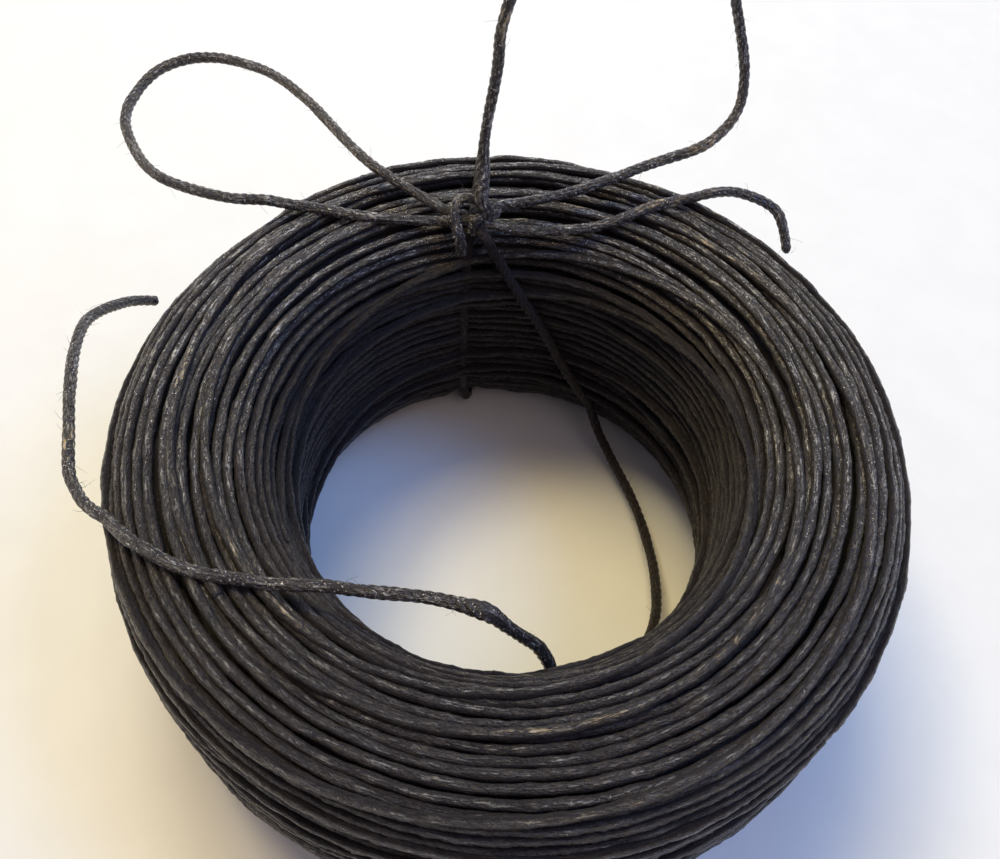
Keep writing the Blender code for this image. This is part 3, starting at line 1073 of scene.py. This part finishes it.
def long_tail(material, rng):
    """The long end, made as one run and cut into pieces at the places where it bends."""
    bore = starting_near(node_rings("tail_in_bore"), KNOT)
    face = starting_near(node_rings("tail_over_face"), bore[-1])
    free = starting_near(node_rings("tail_free_end"), face[-1])
    rim = joint_pivot("tail_lift")
    corners = np.concatenate([[KNOT + (0.3, -0.6, 0.0)], bore, face, free])
    below = rim + (1.6, 0.4, -4.6)
    corners[:, 0] += 0.95 * np.exp(-np.sum((corners - below) ** 2, axis=1) / 3.4**2)
    run = Run(corners, rng, taper_end=0.12)
    shoulder = joint_pivot("tail_end_swing")
    run.swollen(rim + (-1.9, 0.2, 2.2), 1.3, 0.42)
    run.swollen(rim + (1.5, 0.3, -3.9), 1.1, 0.14)
    run.swollen(rim + (3.4, 0.8, -8.6), 2.0, -0.25)
    cuts = [
        0,
        run.nearest(rim + (2.2, 0.4, -5.6)),
        run.nearest(rim + (-3.6, 0.6, 2.1)),
        run.nearest(shoulder + (2.4, -1.6, 0.9)),
        len(run.path),
    ]
    parts = (
        # The run in the bore gets the dimmer level of painted light, painted shade
        ("tail_in_bore_cord", "tail_in_bore", SHADED_PAINTED_LIGHT),
        ("tail_rim_cord", "tail_in_bore", LOOSE_PAINTED_LIGHT),
        ("tail_over_face_cord", "tail_over_face", LOOSE_PAINTED_LIGHT),
        ("tail_free_end_cord", "tail_free_end", LOOSE_PAINTED_LIGHT),
    )
    pieces = []
    for (name, node, crest_light), first, last in zip(parts, cuts, cuts[1:]):
        end = min(last + 1, len(run.path))
        pieces.append(loose_piece(name, run, material, node, rng, first, end, crest_light))
    in_bore, at_rim, over_face, free_end = pieces
    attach(in_bore, "wound_ring")
    bent(at_rim)
    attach(over_face, "tail_run")
    bent(free_end)


def tie_turn(material, rng):
    """The tie cord's turn round the section, drawn tight into the laid turns."""
    corners = starting_near(node_rings("tie_band"), KNOT + (0.0, 3.0, 0.0))
    gap = -depth_in_section(radius_of(corners), corners[:, 2])
    clear_of_floor = np.clip((corners[:, 2] - TABLE_Z - CORD_D) / 2.5, 0.0, 1.0)
    drop = np.clip(gap - 0.6 + 1.05 * share_in_bore(corners), 0.0, 1.35) * clear_of_floor
    corners = corners - drop[:, None] * section_outward(corners)
    corners = np.concatenate([[KNOT + (0.1, 0.7, -0.2)], corners, [KNOT + (-0.5, -0.9, -0.3)]])
    run = Run(corners, rng)
    # The tie cord gets the dimmer level of painted light, painted shade
    piece = loose_piece("tie_band_cord", run, material, "tie_band", rng, crest_light=SHADED_PAINTED_LIGHT)
    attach(piece, "wound_ring")


def add_crumbs(tubes, run, rng, count):
    """Crumbs of pale wax that stick to a cord."""
    share = np.array((0.0, 0.35, 0.7, 1.0))[:, None]
    girths = np.array((0.45, 1.0, 0.85, 0.4))[:, None]
    for _ in range(count):
        at = rng.integers(0, len(run.path))
        turn = rng.uniform(0.0, math.tau)
        out = run.across[at] * math.cos(turn) + run.upward[at] * math.sin(turn)
        size = rng.uniform(*CRUMB_SIZES)
        root = run.path[at] + out * CORD_R * run.girth[at] * 0.93
        path = root + (share - 0.5) * size * 2.4 * unit(rng.normal(size=3))
        across, upward = carried_frames(path)
        radii = size * girths * rng.uniform(0.7, 1.2, (len(share), 6))
        tubes.add(path, across, upward, radii, np.full(len(share), 0.5), np.ones(radii.shape))


def bow_knot(material, crumb_material, rng):
    """The knot: a frayed wrap over the roots of the loops, and a small one beside it."""
    tubes = Tubes()
    crumbs = Tubes()
    for corners, girth in zip(KNOT_WRAPS, WRAP_GIRTHS):
        run = Run(KNOT + np.array(corners), rng)
        run.girth = girth * run.girth * (1.0 + 0.12 * smooth_noise(rng, run.places, 0.7))
        run.add_to(tubes)
        add_fuzz(tubes, run, rng, 0, len(run.path), WRAP_HAIRS, 1.2)
        add_crumbs(crumbs, run, rng, WRAP_CRUMBS)
    piece = tubes.piece("bow_knot_cords", material)
    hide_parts("bow_knot")
    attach(piece, "wound_ring")
    piece = crumbs.piece("wax_crumbs", crumb_material)
    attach(piece, "wound_ring")


def tie(material, crumb_material):
    rng = np.random.default_rng(SEED + 2)
    bow_loops(material, rng)
    long_tail(material, rng)
    tie_turn(material, rng)
    bow_knot(material, crumb_material, rng)


# ---------------------------------------------------------------- stage

EYE = Vector((0.0, -42.3, 85.6 + TABLE_Z))
LOOKING_DOWN = math.radians(56.009)
YAW = math.radians(-1.108)
ROLL = math.radians(4.378)
LENS = 35.77
SENSOR = 36.0
CLIP_START_M = 0.005
FLOOR_HALF_M = 4.0
ROOM = (0.235, 0.215, 0.245, 1.0)

# Azimuth and elevation, side in metres, and watts of red, green and blue of each light
LIGHT_DISTANCE_M = 1.15
LIGHTS = {
    "lamp": ((118, 62), 0.55, (7.4, 5.8, 2.5)),
    "lamp_core": ((144, 57), 0.25, (3.0, 2.6, 1.7)),
    "back_window": ((90, 45), 0.8, (0.4, 1.7, 2.6)),
    "low_window": ((102, 24), 0.5, (2.8, 2.8, 3.2)),
    "side_window": ((14, 51), 0.5, (1.1, 2.6, 6.0)),
    "room_side": ((-45, 52), 0.8, (1.25, 0.95, 0.85)),
}

# Both tones of each mottled surface, the scale of its pattern and its roughness
TABLE_FINISH = ((0.85, 0.845, 0.84), (0.87, 0.865, 0.86), 150.0, 0.6)
SHADED_FINISH = ((0.005, 0.005, 0.005), (0.009, 0.008, 0.008), 900.0, 0.8)
CRUMB_FINISH = ((0.5, 0.47, 0.43), (0.72, 0.69, 0.65), 4000.0, 0.5)


def camera():
    data = bpy.data.cameras.new("camera")
    data.lens = LENS
    data.sensor_width = SENSOR
    data.clip_start = CLIP_START_M
    obj = new_object("camera", data)
    forward = Vector((
        math.sin(YAW) * math.cos(LOOKING_DOWN),
        math.cos(YAW) * math.cos(LOOKING_DOWN),
        -math.sin(LOOKING_DOWN),
    ))
    level = forward.cross(Vector((0, 0, 1))).normalized()
    above = level.cross(forward)
    right = level * math.cos(ROLL) + above * math.sin(ROLL)
    above = above * math.cos(ROLL) - level * math.sin(ROLL)
    turn = Matrix((right, above, -forward)).transposed().to_4x4()
    obj.matrix_world = Matrix.Translation(EYE * MM) @ turn
    bpy.context.scene.camera = obj


def floor():
    sides = ((-1, -1), (1, -1), (1, 1), (-1, 1))
    corners = [(x * FLOOR_HALF_M, y * FLOOR_HALF_M, TABLE_Z * MM) for x, y in sides]
    mesh = bpy.data.meshes.new("floor")
    mesh.from_pydata(corners, [], [(0, 1, 2, 3)])
    mesh.materials.append(mottled("pale_table", *TABLE_FINISH))
    new_object("floor", mesh)


def softbox(name, heading, size, power):
    """A square light that faces the ring."""
    azimuth, elevation = (math.radians(angle) for angle in heading)
    level = math.cos(elevation)
    place = Vector((math.cos(azimuth) * level, math.sin(azimuth) * level, math.sin(elevation)))
    data = bpy.data.lights.new(name, "AREA")
    data.size = size
    data.energy = max(power)
    data.color = [part / max(power) for part in power]
    obj = new_object(name, data)
    obj.location = place * LIGHT_DISTANCE_M
    obj.rotation_euler = (-place).to_track_quat("-Z", "Y").to_euler()


def lighting():
    world = bpy.data.worlds.new("room")
    bpy.context.scene.world = world
    world.use_nodes = True
    back = world.node_tree.nodes["Background"]
    back.inputs["Color"].default_value = ROOM
    back.inputs["Strength"].default_value = 1.0
    for name, (heading, size, power) in LIGHTS.items():
        softbox(name, heading, size, power)
    bpy.context.scene.view_settings.view_transform = "Standard"


def main():
    laid = waxed_cord("laid_waxed_cord", 0.25, 0.6, 1.0)
    loose = waxed_cord("tie_waxed_cord", 0.3, 0.3, 0.9)
    wound_ring(laid)
    buried_turns(mottled("shaded_cord", *SHADED_FINISH))
    tie(loose, mottled("pale_wax", *CRUMB_FINISH))
    floor()
    lighting()
    camera()


main()
